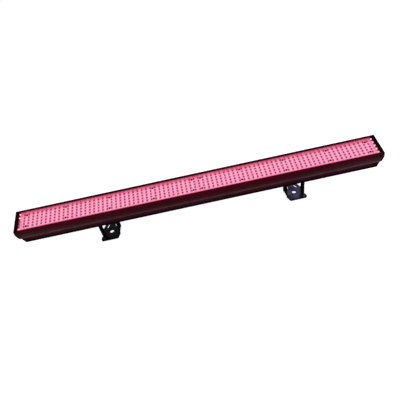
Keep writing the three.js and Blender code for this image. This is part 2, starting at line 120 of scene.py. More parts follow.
class BattenShells(bpy.types.PropertyGroup):
    """Edges of the shells and brackets."""

    shell_edge: size("Shell Edge", "Rounding of the extrusion's and the tray's edges", 0.35)
    bracket_edge: size("Bracket Edge", "Rounding of the cut edges of yokes and lugs", 0.45)
    fastener_edge: size("Fastener Edge", "Chamfer of nuts and bolt heads", 0.45)
    moulded_edge: size("Moulded Edge", "Rounding of sockets and buttons", 0.3)
    knob_edge: size("Knob Edge", "Rounding of the hand knobs", 1.2)
    smooth_angle: FloatProperty(
        name="Smooth Angle",
        description="Edges flatter than this are shaded smooth",
        default=math.radians(32),
        unit="ROTATION",
        subtype="ANGLE",
    )


class BattenLights(bpy.types.PropertyGroup):
    """The LED field and its screws."""

    columns: IntProperty(name="Columns", description="LED columns on each board", default=40, min=2)
    end_leds: IntProperty(name="End LEDs", description="LEDs in the column at each end", default=5, min=2)
    lens_sides: IntProperty(name="Lens Sides", description="Facets round one lens", default=10, min=6)
    screw_head: size("Screw Head", "Radius of a board screw's head", 3.0)
    screw_height: size("Screw Height", "Height of a board screw's head", 1.3)
    screw_spread: size("Screw Spread", "Distance of the board screws from the middle line", 17.95)
    glow: colour("Glow", "Light that the white boards throw back between the LEDs", (1.0, 0.43, 0.62))
    deep_glow: colour("Deep Glow", "Light round the LEDs and along the far edge", (0.82, 0.1, 0.22))
    lens: colour("Lens", "An LED lens in the field", (0.42, 0.03, 0.13))
    end_lens: colour("End Lens", "An LED lens in the end columns", (1.0, 0.66, 0.8))


class BattenFinishes(bpy.types.PropertyGroup):
    """Colours of the painted, plated and moulded pieces."""

    black: colour("Black", "Powder coat where no light reaches it", (0.006, 0.001, 0.002))
    # spill, dusk and haze are light painted on the walls as colour: the LEDs' red cast and the room's duller
    # cast
    spill: colour("Light Spill", "Red cast of the LEDs on the walls beside the face", (0.068, 0.0, 0.006))
    dusk: colour("Fading Spill", "Red cast halfway down the walls", (0.03, 0.0, 0.004))
    haze: colour("Room Light", "Duller cast on the lower walls", (0.06, 0.012, 0.018))
    bracket: colour("Bracket", "Powder coat on yokes and lugs", (0.003, 0.0022, 0.0026))
    zinc: colour("Zinc", "Plated nuts and bolts", (0.6, 0.61, 0.64))
    rubber: colour("Rubber", "Knobs and buttons", (0.02, 0.02, 0.022))
    plastic: colour("Plastic", "Sockets", (0.018, 0.018, 0.02))
    grain: FloatProperty(
        name="Grain", description="Orange peel of the powder coat, in bumps per metre", default=1100, min=1
    )


class BattenStudio(bpy.types.PropertyGroup):
    """Camera, lamps and floor."""

    distance: size("Distance", "From the camera to the point that it looks at", 917)
    elevation: FloatProperty(
        name="Elevation", description="Camera above the horizon", default=math.radians(38.97), subtype="ANGLE"
    )
    azimuth: FloatProperty(
        name="Azimuth", description="Camera round from the front", default=math.radians(0.15), subtype="ANGLE"
    )
    roll: FloatProperty(
        name="Roll", description="Camera turned about its view", default=math.radians(-12.28), subtype="ANGLE"
    )
    focal: FloatProperty(
        name="Focal Length", description="On a 36 mm sensor", default=28.8, min=1, subtype="DISTANCE_CAMERA"
    )
    key: FloatProperty(name="Key", description="Soft lamp above the front", default=9, min=0, unit="POWER")
    rim: FloatProperty(name="Rim", description="Cool lamp behind the right", default=14, min=0, unit="POWER")


PROPERTY_GROUPS = {
    "batten_shells": BattenShells,
    "batten_lights": BattenLights,
    "batten_finishes": BattenFinishes,
    "batten_studio": BattenStudio,
}


# Node helpers, for shaders and for Geometry Nodes


def add_node(tree, kind, inputs=None, **settings):
    """A node whose settings and inputs are given; an input is a value or the socket that feeds it."""
    node = tree.nodes.new(kind)
    for key, value in settings.items():
        setattr(node, key, value)
    for key, value in (inputs or {}).items():
        if isinstance(value, bpy.types.NodeSocket):
            tree.links.new(value, node.inputs[key])
        else:
            node.inputs[key].default_value = value
    return node


def rgba(value):
    return (*value, 1.0)


def mixed(tree, factor, first, second):
    """The first colour where the factor is 0 and the second where it is 1."""
    node = add_node(tree, "ShaderNodeMix", {0: factor, 6: first, 7: second}, data_type="RGBA")
    return node.outputs[2]


def maths(tree, operation, *values):
    return add_node(tree, "ShaderNodeMath", dict(enumerate(values)), operation=operation).outputs[0]


def between(tree, value, low, high, start=0.0, end=1.0):
    """A smooth step from start at low to end at high."""
    inputs = {"Value": value, "From Min": low, "From Max": high, "To Min": start, "To Max": end}
    return add_node(tree, "ShaderNodeMapRange", inputs, interpolation_type="SMOOTHSTEP").outputs[0]


def noise(tree, vector, scale, detail=2.0):
    inputs = {"Vector": vector, "Scale": scale, "Detail": detail}
    return add_node(tree, "ShaderNodeTexNoise", inputs).outputs[0]


def new_group(kind, name, inputs, outputs):
    """An empty node group with its sockets, and its input and output nodes."""
    tree = bpy.data.node_groups.new(name, kind)
    for label, socket_type in inputs:
        tree.interface.new_socket(name=label, in_out="INPUT", socket_type=socket_type)
    for label, socket_type in outputs:
        tree.interface.new_socket(name=label, in_out="OUTPUT", socket_type=socket_type)
    return tree, tree.nodes.new("NodeGroupInput"), tree.nodes.new("NodeGroupOutput")


def powder_coat():
    """Orange peel and slow changes of tone, shared by every painted metal."""
    if "Powder Coat" in bpy.data.node_groups:
        return bpy.data.node_groups["Powder Coat"]
    tree, start, end = new_group(
        "ShaderNodeTree",
        "Powder Coat",
        [("Vector", "NodeSocketVector"), ("Grain", "NodeSocketFloat")],
        [("Tone", "NodeSocketFloat"), ("Height", "NodeSocketFloat")],
    )
    vector, grain = start.outputs["Vector"], start.outputs["Grain"]
    peel = noise(tree, vector, grain, 1.0)
    speck = noise(tree, vector, maths(tree, "MULTIPLY", grain, 3.1), 0.0)
    height = maths(tree, "ADD", peel, maths(tree, "MULTIPLY", speck, 0.3))
    tone = noise(tree, vector, maths(tree, "MULTIPLY", grain, 0.02), 3.0)
    tree.links.new(tone, end.inputs["Tone"])
    tree.links.new(height, end.inputs["Height"])
    return tree


def handling_marks():
    """Sparse hairline rubs that run along X, and specks of dust."""
    if "Handling Marks" in bpy.data.node_groups:
        return bpy.data.node_groups["Handling Marks"]
    tree, start, end = new_group(
        "ShaderNodeTree",
        "Handling Marks",
        [("Vector", "NodeSocketVector"), ("Amount", "NodeSocketFloat")],
        [("Rubs", "NodeSocketFloat"), ("Dust", "NodeSocketFloat")],
    )
    vector, amount = start.outputs["Vector"], start.outputs["Amount"]
    stretched = add_node(tree, "ShaderNodeMapping", {"Vector": vector, "Scale": (12, 900, 900)}).outputs[0]
    lines = between(tree, noise(tree, stretched, 1.0, 2.0), 0.64, 0.74)
    patches = between(tree, noise(tree, vector, 28.0, 2.0), 0.5, 0.66)
    rubs = maths(tree, "MULTIPLY", maths(tree, "MULTIPLY", lines, patches), amount)
    dust = between(tree, noise(tree, vector, 1500.0, 0.0), 0.72, 0.8)
    tree.links.new(rubs, end.inputs["Rubs"])
    tree.links.new(maths(tree, "MULTIPLY", dust, amount), end.inputs["Dust"])
    return tree


class Finish:
    """A material under construction: its tree, its Principled shader and its Object coordinates."""

    def __init__(self, name, roughness=0.5, **uniform):
        self.material = bpy.data.materials.new(name)
        self.material.use_nodes = True
        self.tree = self.material.node_tree
        self.tree.nodes.clear()
        self.shader = self.node("ShaderNodeBsdfPrincipled", {"Roughness": roughness})
        self.node("ShaderNodeOutputMaterial", {"Surface": self.shader.outputs[0]})
        self.place = self.node("ShaderNodeTexCoord").outputs["Object"]
        for socket, value in uniform.items():
            self.shader.inputs[socket.replace("_", " ").title().replace("Ior", "IOR")].default_value = value

    def node(self, kind, inputs=None, **settings):
        return add_node(self.tree, kind, inputs, **settings)

    def feed(self, socket, value):
        """Links a socket to the shader, or sets a value on it."""
        if isinstance(value, bpy.types.NodeSocket):
            self.tree.links.new(value, self.shader.inputs[socket])
        else:
            self.shader.inputs[socket].default_value = value

    def bump(self, height, strength, distance=0.05 * MM):
        inputs = {"Height": height, "Strength": strength, "Distance": distance}
        self.feed("Normal", self.node("ShaderNodeBump", inputs).outputs[0])

    def in_head(self):
        """X, Y and Z of the surface in the head's frame."""
        back = HEAD.inverted()
        inputs = {"Vector": self.place, "Location": back.translation, "Rotation": back.to_euler()}
        split = self.node("ShaderNodeSeparateXYZ", {0: self.node("ShaderNodeMapping", inputs).outputs[0]})
        return split.outputs

    def painted(self, colour, grain, marks=1.0, peel=0.35):
        """Powder coat of a colour, which is a value or a socket."""
        tree = self.tree
        coat = self.node("ShaderNodeGroup", node_tree=powder_coat())
        tree.links.new(self.place, coat.inputs["Vector"])
        coat.inputs["Grain"].default_value = grain
        worn = self.node("ShaderNodeGroup", node_tree=handling_marks())
        tree.links.new(self.place, worn.inputs["Vector"])
        worn.inputs["Amount"].default_value = marks
        first = colour if isinstance(colour, bpy.types.NodeSocket) else rgba(colour)
        cloud = between(tree, coat.outputs["Tone"], 0.3, 0.7, 0.0, 0.3)
        tone = mixed(tree, cloud, first, (0.008, 0.005, 0.006, 1))
        rubbed = mixed(tree, maths(tree, "MULTIPLY", worn.outputs["Rubs"], 0.4), tone, (0.06, 0.055, 0.06, 1))
        dust = maths(tree, "MULTIPLY", worn.outputs["Dust"], 0.2)
        dusted = mixed(tree, dust, rubbed, (0.16, 0.15, 0.14, 1))
        self.feed("Base Color", dusted)
        base = self.shader.inputs["Roughness"].default_value
        low, high = base - 0.06, base + 0.08
        self.feed("Roughness", between(tree, coat.outputs["Tone"], 0.25, 0.75, low, high))
        self.bump(coat.outputs["Height"], peel)
        return self.material


# Materials


def looks():
    return bpy.context.scene.batten_finishes


def cached(maker):
    """Makes a material once, however many pieces ask for it."""
    made = {}

    def get():
        if "it" not in made:
            made["it"] = maker()
        return made["it"]

    return get


def wall_colour(f):
    """Black walls with light and shade painted into their colour: a red cast of the LEDs under the face that
    dulls with depth, a duller cast of the room's light lower down, and painted shade towards the bottom and
    the ends.

    The cast is part of the paint, so it doesn't follow the lamps.
    """
    tree = f.tree
    x, _, z = f.in_head()
    depth = maths(tree, "SUBTRACT", FACE_Z, z)
    black = rgba(looks().black)
    uneven = between(tree, noise(tree, f.place, 9.0, 2.0), 0.3, 0.8, 0.0, 0.25)
    # Painted light: the LEDs' red cast just under the face, fading with depth
    upper = mixed(tree, between(tree, depth, *SPILL_FADE), rgba(looks().spill), rgba(looks().dusk))
    # Painted light: the room's duller cast on the lower walls
    middle = mixed(tree, between(tree, depth, *HAZE_FADE), upper, rgba(looks().haze))
    # Painted shade towards the bottom of the walls
    lower = mixed(tree, between(tree, depth, *BLACK_FADE), middle, black)
    shaded = mixed(tree, uneven, lower, black)
    # Painted shade towards the ends, where the LEDs' cast falls off
    near_end = between(tree, maths(tree, "ABSOLUTE", x), *END_FADE, 0.0, 0.6)
    return mixed(tree, near_end, shaded, black)


@cached
def black_aluminium():
    """Powder-coated extrusion, whose channel for the boards has the LEDs' pink light painted into its colour
    and emits a little light, as if it caught theirs.
    """
    f = Finish("black_aluminium", 0.45, specular_ior_level=0.015)
    tree = f.tree
    x, y, z = f.in_head()
    depth = maths(tree, "SUBTRACT", FACE_Z, z)
    board_depth = FACE_Z - BOARD_Z
    boards_end = 0.9 * head_box("end_leds_right")[0].x
    past_boards = maths(tree, "GREATER_THAN", maths(tree, "ABSOLUTE", x), boards_end)
    deepest = maths(tree, "MULTIPLY_ADD", past_boards, 2 * MM, board_depth + 0.5 * MM)
    above_web = maths(tree, "LESS_THAN", depth, deepest)
    under_lip = maths(tree, "GREATER_THAN", depth, LIP_DEPTH)
    inside = maths(tree, "LESS_THAN", maths(tree, "ABSOLUTE", y), CHANNEL_HALF)
    channel = maths(tree, "MULTIPLY", under_lip, inside)
    near_lip = between(tree, y, *NEAR_LIP)
    near_lip = maths(tree, "MULTIPLY", near_lip, maths(tree, "LESS_THAN", y, FRONT_HALF))
    lit = maths(tree, "MULTIPLY", maths(tree, "MAXIMUM", channel, near_lip), above_web)
    lit = maths(tree, "MULTIPLY", lit, along_field(f))
    glow = bpy.context.scene.batten_lights.deep_glow
    # Painted light: the channel takes the LEDs' pink as its colour as well as a faint glow
    f.painted(mixed(tree, lit, wall_colour(f), rgba(glow)), looks().grain)
    f.feed("Emission Color", mixed(tree, lit, (0, 0, 0, 1), rgba(glow)))
    f.feed("Emission Strength", 0.3)
    return f.material


def along_field(f):
    """1 along the LED boards, fading to 0 at the columns of LEDs at the ends."""
    low, high = head_box("end_leds_right")
    return between(f.tree, maths(f.tree, "ABSOLUTE", f.in_head()[0]), low.x, high.x, 1.0, 0.0)


@cached
def black_steel():
    """Powder-coated folded sheet, quite matt."""
    f = Finish("black_steel", 0.5, specular_ior_level=0.0)
    # The tray's walls carry the painted light and shade of wall_colour
    return f.painted(wall_colour(f), looks().grain)


@cached
def bracket_steel():
    """Matt powder coat on yokes and lugs, rubbed smoother on the flats that face up."""
    f = Finish("bracket_steel", 0.38)
    normal = f.node("ShaderNodeSeparateXYZ", {0: f.node("ShaderNodeNewGeometry").outputs["Normal"]})
    f.feed("Specular IOR Level", between(f.tree, normal.outputs[2], 0.6, 0.95, 0.0, 0.12))
    return f.painted(looks().bracket, looks().grain * 0.8, marks=0.8, peel=0.5)


@cached
def board_white():
    """White solder mask with the LEDs' light painted on as a pink glow: brightest between the LEDs, pinker
    round each one, with painted shade towards the far edge and at the ends.
    """
    f = Finish("board_white", 0.45, specular_ior_level=0.2)
    tree = f.tree
    lights = bpy.context.scene.batten_lights
    x, y, _ = f.in_head()
    pitch, row_pitch = column_pitch(), row_spacing()
    across = maths(tree, "WRAP", maths(tree, "SUBTRACT", x, pitch / 2), pitch / 2, -pitch / 2)
    row = maths(tree, "ROUND", maths(tree, "DIVIDE", y, row_pitch))
    row = maths(tree, "MAXIMUM", maths(tree, "MINIMUM", row, OUTER_ROW), -OUTER_ROW)
    along = maths(tree, "SUBTRACT", y, maths(tree, "MULTIPLY", row, row_pitch))
    near = f.node("ShaderNodeCombineXYZ", {0: across, 1: maths(tree, "MULTIPLY", along, 0.9)}).outputs[0]
    from_led = f.node("ShaderNodeVectorMath", {0: near}, operation="LENGTH").outputs["Value"]
    ring = between(tree, from_led, 2.4 * MM, 4.6 * MM, 0.0, 0.55)
    between_columns = between(tree, maths(tree, "ABSOLUTE", across), 2.0 * MM, 5.5 * MM, 0.0, 0.3)
    open_board = maths(tree, "ADD", ring, between_columns)
    column = noise(tree, f.node("ShaderNodeCombineXYZ", {0: x}).outputs[0], 70.0, 1.0)
    patch = noise(tree, f.place, 60.0, 2.0)
    drift = between(tree, maths(tree, "ADD", column, patch), 0.7, 1.3, -0.16, 0.12)
    reach = head_box("led_board_left")[1].y
    # Painted shade: the glow falls off towards the far rows
    far = between(tree, y, 0.45 * reach, 0.85 * reach, 0.0, 0.75)
    bright = maths(tree, "SUBTRACT", maths(tree, "ADD", open_board, drift), far)
    glowing = mixed(tree, maths(tree, "ADD", bright, 0.2), rgba(lights.deep_glow), rgba(lights.glow))
    # Painted shade along the far edge, under the lip
    edge = between(tree, y, 0.8 * reach, 0.95 * reach, 0.0, 0.6)
    shaded = mixed(tree, edge, glowing, rgba([0.4 * part for part in lights.deep_glow]))
    # Painted shade beyond the LED field, towards the ends
    colour = mixed(tree, along_field(f), (0.03, 0.0, 0.004, 1), shaded)
    # The base colour is painted pink light as well, not the mask's own white
    f.feed("Base Color", mixed(tree, 0.35, colour, (0.2, 0.02, 0.06, 1)))
    f.feed("Emission Color", colour)
    f.feed("Emission Strength", 0.62)
    f.bump(noise(tree, f.place, 1800.0, 1.0), 0.15)
    return f.material


def lens_material(name, colour, strength):
    """Moulded LED lens: a clear skin over a lit core, mottled like cast resin."""
    f = Finish(name, 0.14, ior=1.5, coat_weight=0.6, coat_roughness=0.06)
    mottle = between(f.tree, noise(f.tree, f.place, 420.0, 2.0), 0.3, 0.7, 0.0, 0.4)
    darker = rgba([0.55 * part for part in colour])
    tone = mixed(f.tree, mottle, rgba(colour), darker)
    if name == "end_led_lens":
        tone = dimmed(f, tone, bpy.context.scene.batten_lights.lens)
    f.feed("Base Color", tone)
    f.feed("Emission Color", tone)
    f.feed("Emission Strength", strength)
    return f.material


@cached
def led_lens():
    return lens_material("led_lens", bpy.context.scene.batten_lights.lens, 0.35)


@cached
def end_led_lens():
    return lens_material("end_led_lens", bpy.context.scene.batten_lights.end_lens, 0.7)


def dimmed(f, tone, colour):
    """A tone that turns to another colour over the LEDs of the left end column that glow less."""
    x, y, _ = f.in_head()
    left = maths(f.tree, "LESS_THAN", x, 0.0)
    from_middle = maths(f.tree, "ABSOLUTE", maths(f.tree, "ADD", y, DIM_FORWARD))
    inner = maths(f.tree, "LESS_THAN", from_middle, DIM_HALF)
    return mixed(f.tree, maths(f.tree, "MULTIPLY", left, inner), tone, rgba(colour))


@cached
def zinc_steel():
    """Bright zinc plate with the faint crystals and smears of a passivated surface."""
    f = Finish("zinc_steel", 0.3, metallic=1.0)
    cells = f.node("ShaderNodeTexVoronoi", {"Vector": f.place, "Scale": 900.0})
    smear = noise(f.tree, f.place, 160.0, 3.0)
    f.feed("Base Color", mixed(f.tree, smear, rgba(looks().zinc), (0.42, 0.42, 0.4, 1)))
    f.feed("Roughness", between(f.tree, smear, 0.3, 0.7, 0.22, 0.42))
    f.bump(cells.outputs["Distance"], 0.12)
    return f.material


@cached
def black_screws():
    """Black-oxide screws with a painted dark red cast of the LEDs' light, lighter where worn on their high
    spots.
    """
    f = Finish("black_screws", 0.5, specular_ior_level=0.0)
    wear = between(f.tree, noise(f.tree, f.place, 700.0, 3.0), 0.5, 0.75)
    # The dark red is painted light of the LEDs on black screws
    f.feed("Base Color", mixed(f.tree, wear, (0.03, 0.0, 0.006, 1), (0.06, 0.004, 0.012, 1)))
    f.feed("Roughness", between(f.tree, wear, 0.0, 1.0, 0.5, 0.3))
    f.bump(noise(f.tree, f.place, 2600.0, 1.0), 0.2)
    return f.material


def moulded(name, colour, roughness, spark_scale, strength):
    """Moulded plastic or rubber with a spark-eroded texture."""
    f = Finish(name, roughness)
    spark = noise(f.tree, f.place, spark_scale, 2.0)
    tone = between(f.tree, noise(f.tree, f.place, 45.0, 2.0), 0.3, 0.7)
    lighter = rgba([1.6 * part + 0.004 for part in colour])
    f.feed("Base Color", mixed(f.tree, tone, rgba(colour), lighter))
    f.feed("Roughness", between(f.tree, tone, 0.0, 1.0, roughness - 0.08, roughness + 0.06))
    f.bump(spark, strength)
    return f.material


@cached
def socket_plastic():
    return moulded("socket_plastic", looks().plastic, 0.5, 2200.0, 0.3)


@cached
def knob_rubber():
    return moulded("knob_rubber", looks().rubber, 0.7, 1500.0, 0.5)


@cached
def button_rubber():
    return moulded("button_rubber", looks().rubber, 0.62, 2600.0, 0.3)


@cached
def washer_fibre():
    """Pressed fibre: short strands in every direction."""
    f = Finish("washer_fibre", 0.8)
    inputs = {"Vector": f.place, "Scale": 500.0, "Distortion": 9.0}
    strands = f.node("ShaderNodeTexWave", inputs).outputs["Fac"]
    f.feed("Base Color", mixed(f.tree, strands, (0.02, 0.018, 0.017, 1), (0.07, 0.062, 0.055, 1)))
    f.bump(strands, 0.4)
    return f.material


@cached
def cable_sheath():
    """Soft PVC sheath with the faint rings of its extrusion."""
    f = Finish("cable_sheath", 0.55)
    rings = f.node("ShaderNodeTexWave", {"Vector": f.place, "Scale": 260.0, "Distortion": 1.5}).outputs["Fac"]
    f.feed("Base Color", mixed(f.tree, rings, (0.014, 0.014, 0.016, 1), (0.022, 0.022, 0.024, 1)))
    f.bump(rings, 0.1)
    return f.material


@cached
def supply_case():
    """Rolled aluminium sheet, brushed along the case."""
    f = Finish("supply_case", 0.35, metallic=1.0)
    stretched = f.node("ShaderNodeMapping", {"Vector": f.place, "Scale": (20, 1400, 1400)}).outputs[0]
    brushed = noise(f.tree, stretched, 1.0, 2.0)
    f.feed("Base Color", mixed(f.tree, brushed, (0.5, 0.51, 0.52, 1), (0.72, 0.73, 0.74, 1)))
    f.feed("Roughness", between(f.tree, brushed, 0.2, 0.8, 0.28, 0.46))
    f.bump(brushed, 0.15)
    return f.material


@cached
def circuit_board():
    """Green solder mask over a mesh of copper tracks."""
    f = Finish("circuit_board", 0.35, coat_weight=0.3)
    settings = {"distance": "CHEBYCHEV", "feature": "F1"}
    cells = f.node("ShaderNodeTexVoronoi", {"Vector": f.place, "Scale": 260.0}, **settings)
    tracks = between(f.tree, cells.outputs["Distance"], 0.42, 0.48)
    f.feed("Base Color", mixed(f.tree, tracks, (0.012, 0.09, 0.035, 1), (0.03, 0.17, 0.06, 1)))
    f.bump(tracks, 0.3)
    return f.material


@cached
def display_window():
    """Dark red clear window over the display."""
    f = Finish("display_window", 0.06, ior=1.49, transmission_weight=0.85)
    haze = between(f.tree, noise(f.tree, f.place, 300.0, 2.0), 0.3, 0.8, 0.04, 0.12)
    streak = between(f.tree, noise(f.tree, f.place, 90.0, 2.0), 0.3, 0.7)
    f.feed("Base Color", mixed(f.tree, streak, (0.42, 0.03, 0.04, 1), (0.34, 0.02, 0.03, 1)))
    f.feed("Roughness", haze)
    return f.material


@cached
def lit_segments():
    """Lit strokes of the display's digits."""
    f = Finish("lit_segments", 0.4)
    even = between(f.tree, noise(f.tree, f.place, 900.0, 1.0), 0.2, 0.8)
    colour = mixed(f.tree, even, (0.9, 0.06, 0.03, 1), (1.0, 0.14, 0.06, 1))
    f.feed("Base Color", colour)
    f.feed("Emission Color", colour)
    f.feed("Emission Strength", 1.6)
    return f.material


@cached
def floor_white():
    """Plain pale sweep, mostly lit by itself so that only soft contact shadows fall on it."""
    f = Finish("floor_white", 0.9, specular_ior_level=0.0)
    faint = between(f.tree, noise(f.tree, f.place, 3.0, 2.0), 0.0, 1.0)
    f.feed("Base Color", mixed(f.tree, faint, (0.8, 0.8, 0.8, 1), (0.82, 0.82, 0.82, 1)))
    f.feed("Emission Color", (1.0, 1.0, 1.0, 1.0))
    f.feed("Emission Strength", 0.76)
    return f.material


# Mesh helpers


def new_piece(name, mesh, material):
    """An object at the origin that holds a mesh, with one material."""
    mesh.name = name
    mesh.materials.clear()
    mesh.materials.append(material)
    piece = bpy.data.objects.new(name, mesh)
    bpy.context.scene.collection.objects.link(piece)
    return piece


def settle(piece, body, slot, *nodes):
    """Rides a finished piece on its body and hides the CAD nodes that it stands for; the slot that it is
    given is not used.
    """
    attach(piece, body)
    if nodes:
        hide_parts(*nodes)
    return piece


def bake_modifiers(piece):
    """Replaces a piece's mesh by what its modifiers make of it."""
    evaluated = piece.evaluated_get(bpy.context.evaluated_depsgraph_get())
    mesh = bpy.data.meshes.new_from_object(evaluated)
    piece.modifiers.clear()
    piece.data = mesh
    if not mesh.polygons:
        raise RuntimeError(f"{piece.name} came out empty")
    return piece


def shade(mesh, angle):
    """Smooth shading, with the sharper edges kept sharp."""
    mesh.polygons.foreach_set("use_smooth", [True] * len(mesh.polygons))
    mesh.set_sharp_from_angle(angle=angle)


def welded_copy(node):
    """A CAD node's mesh with its triangles joined up and its flat faces made whole."""
    bm = bmesh.new()
    bm.from_mesh(NODES[node].data)
    bmesh.ops.remove_doubles(bm, verts=bm.verts, dist=0.005 * MM)
    bmesh.ops.dissolve_limit(
        bm, angle_limit=math.radians(0.6), verts=bm.verts, edges=bm.edges, use_dissolve_boundaries=False
    )
    mesh = bpy.data.meshes.new(node)
    bm.to_mesh(mesh)
    bm.free()
    return mesh


def refined(node, body, slot, material, edge, segments=2):
    """A copy of a CAD node with rounded edges and smooth curves, which stands for it."""
    piece = new_piece(f"{node}_finished", welded_copy(node), material)
    bevel = piece.modifiers.new("edges", "BEVEL")
    bevel.width = edge
    bevel.segments = segments
    bevel.limit_method = "ANGLE"
    bevel.angle_limit = math.radians(34)
    bevel.use_clamp_overlap = True
    bake_modifiers(piece)
    shade(piece.data, bpy.context.scene.batten_shells.smooth_angle)
    return settle(piece, body, slot, node)


def dress(node, material):
    """Gives a CAD node whose shape is right its finish."""
    cad = NODES[node]
    cad.data.materials.clear()
    cad.data.materials.append(material)


def turned(rings, sides):
    """A closed mesh turned about Z: each ring is a radius, or radii to repeat round it, and a height."""
    bm = bmesh.new()
    loops = []
    for radii, z in rings:
        radii = radii if isinstance(radii, (list, tuple)) else [radii]
        loop = []
        for i in range(sides):
            angle = 2 * math.pi * i / sides
            radius = radii[i % len(radii)]
            loop.append(bm.verts.new((radius * math.cos(angle), radius * math.sin(angle), z)))
        loops.append(loop)
    for low, high in zip(loops, loops[1:]):
        for i in range(sides):
            j = (i + 1) % sides
            bm.faces.new((low[i], low[j], high[j], high[i]))
    bm.faces.new(reversed(loops[0]))
    bm.faces.new(loops[-1])
    bmesh.ops.recalc_face_normals(bm, faces=bm.faces)
    mesh = bpy.data.meshes.new("turned")
    bm.to_mesh(mesh)
    bm.free()
    return mesh


def template(name, mesh, angle=math.radians(32)):
    """An object that Geometry Nodes copies, and that is removed again by the operator that made it."""
    shade(mesh, angle)
    piece = bpy.data.objects.new(name, mesh)
    bpy.context.scene.collection.objects.link(piece)
    return piece


def lens_mesh(radius, height, sides):
    """One LED: a flanged foot, a short wall and a dome."""
    wall = 0.86 * radius
    foot = 0.16 * height
    dome = height - foot - 0.3 * height
    rings = [(radius, 0), (radius, 0.7 * foot), (wall, foot), (wall, height - dome)]
    for step in (30, 60, 82):
        angle = math.radians(step)
        rings.append((wall * math.cos(angle), height - dome + dome * math.sin(angle)))
    return turned(rings, sides)


def screw_mesh(radius, height):
    """A button-head screw with a hexagonal socket."""
    flat, corner = 0.37 * radius, 0.43 * radius
    rings = [
        (radius, 0),
        (radius, 0.35 * height),
        (0.86 * radius, 0.72 * height),
        (0.58 * radius, height),
        ([corner, flat], height),
        ([corner, flat], 0.45 * height),
    ]
    return turned(rings, 12)


# Geometry Nodes


def set_inputs(modifier, **values):
    """Sets a modifier's inputs by their sockets' names, through the sockets' identifiers."""
    items = modifier.node_group.interface.items_tree
    found = {i.name: i.identifier for i in items if i.item_type == "SOCKET" and i.in_out == "INPUT"}
    for label, value in values.items():
        modifier[found[label.replace("_", " ")]] = value


def field_tree():
    """A grid of copies of one object, set out from the middle of the grid."""
    if "LED Field" in bpy.data.node_groups:
        return bpy.data.node_groups["LED Field"]
    inputs = [
        ("Geometry", "NodeSocketGeometry"),
        ("Lens", "NodeSocketObject"),
        ("Columns", "NodeSocketInt"),
        ("Rows", "NodeSocketInt"),
        ("Length", "NodeSocketFloat"),
        ("Width", "NodeSocketFloat"),
        ("Middle", "NodeSocketVector"),
        ("Material", "NodeSocketMaterial"),
    ]
    outputs = [("Geometry", "NodeSocketGeometry")]
    tree, start, end = new_group("GeometryNodeTree", "LED Field", inputs, outputs)
    tree.is_modifier = True
    given = start.outputs
    grid_inputs = {
        "Size X": given["Length"],
        "Size Y": given["Width"],
        "Vertices X": given["Columns"],
        "Vertices Y": given["Rows"],
    }
    grid = add_node(tree, "GeometryNodeMeshGrid", grid_inputs)
    moved = add_node(
        tree, "GeometryNodeTransform", {"Geometry": grid.outputs["Mesh"], "Translation": given["Middle"]}
    )
    lens = add_node(tree, "GeometryNodeObjectInfo", {"Object": given["Lens"], "As Instance": True})
    copies = add_node(
        tree,
        "GeometryNodeInstanceOnPoints",
        {"Points": moved.outputs[0], "Instance": lens.outputs["Geometry"]},
    )
    finish_tree(tree, copies.outputs[0], given["Material"], end)
    return tree


def finish_tree(tree, instances, material, end):
    real = add_node(tree, "GeometryNodeRealizeInstances", {0: instances})
    coated = add_node(tree, "GeometryNodeSetMaterial", {"Geometry": real.outputs[0], "Material": material})
    tree.links.new(coated.outputs[0], end.inputs[0])


def fastener_tree():
    """A copy of one object on each point, facing as the point's attribute says and turned by chance."""
    if "Fasteners" in bpy.data.node_groups:
        return bpy.data.node_groups["Fasteners"]
    inputs = [
        ("Geometry", "NodeSocketGeometry"),
        ("Fastener", "NodeSocketObject"),
        ("Seed", "NodeSocketInt"),
        ("Material", "NodeSocketMaterial"),
    ]
    outputs = [("Geometry", "NodeSocketGeometry")]
    tree, start, end = new_group("GeometryNodeTree", "Fasteners", inputs, outputs)
    tree.is_modifier = True
    given = start.outputs
    facing = add_node(tree, "GeometryNodeInputNamedAttribute", {"Name": "facing"}, data_type="FLOAT_VECTOR")
    aligned = add_node(
        tree, "FunctionNodeAlignRotationToVector", {"Vector": facing.outputs["Attribute"]}, axis="Z"
    )
    turn = add_node(tree, "FunctionNodeRandomValue", {"Seed": given["Seed"]}, data_type="FLOAT")
    turn.inputs[2].default_value = 0.0
    turn.inputs[3].default_value = 2 * math.pi
    spin = add_node(tree, "FunctionNodeAxisAngleToRotation", {"Axis": (0, 0, 1), "Angle": turn.outputs[1]})
    rotation = add_node(
        tree,
        "FunctionNodeRotateRotation",
        {"Rotation": aligned.outputs[0], "Rotate By": spin.outputs[0]},
        rotation_space="LOCAL",
    )
    piece = add_node(tree, "GeometryNodeObjectInfo", {"Object": given["Fastener"], "As Instance": True})
    copies = add_node(
        tree,
        "GeometryNodeInstanceOnPoints",
        {"Points": given["Geometry"], "Instance": piece.outputs["Geometry"], "Rotation": rotation.outputs[0]},
    )
    finish_tree(tree, copies.outputs[0], given["Material"], end)
    return tree


